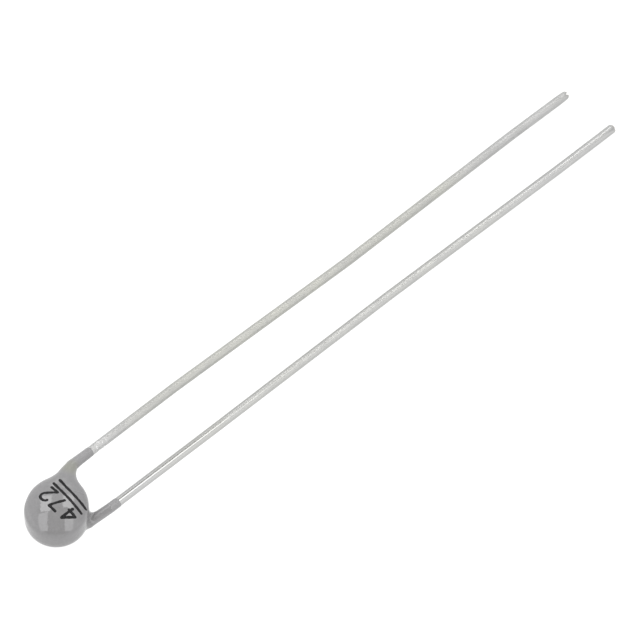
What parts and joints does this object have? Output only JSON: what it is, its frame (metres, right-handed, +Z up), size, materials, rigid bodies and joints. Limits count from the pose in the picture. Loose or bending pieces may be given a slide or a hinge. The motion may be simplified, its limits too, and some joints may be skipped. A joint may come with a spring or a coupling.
{
  "type": "thermistor",
  "caption": "Small disc thermistor dipped in grey lacquer, with long straight tinned leads that leave its rim side by side.",
  "frame": {"origin": "centre of the box, on the surface that the part lies on", "axes": "+X along the leads, from the head to their cut ends; +Z up, out of the marked face"},
  "size_m": [0.0492, 0.0046, 0.0029],
  "materials": {
    "ceramic": "sintered",
    "fired_silver": "matt",
    "solder": "satin",
    "tinned_wire": "tinned",
    "grey_lacquer": "semi-gloss"
  },
  "bodies": {
    "root": {"ceramic_disc": "ceramic", "front_electrode": "fired_silver", "rear_electrode": "fired_silver", "front_solder": "solder", "rear_solder": "solder", "front_lead": "tinned_wire", "rear_lead": "tinned_wire", "lacquer_coating": "grey_lacquer"}
  },
  "joints": []
}
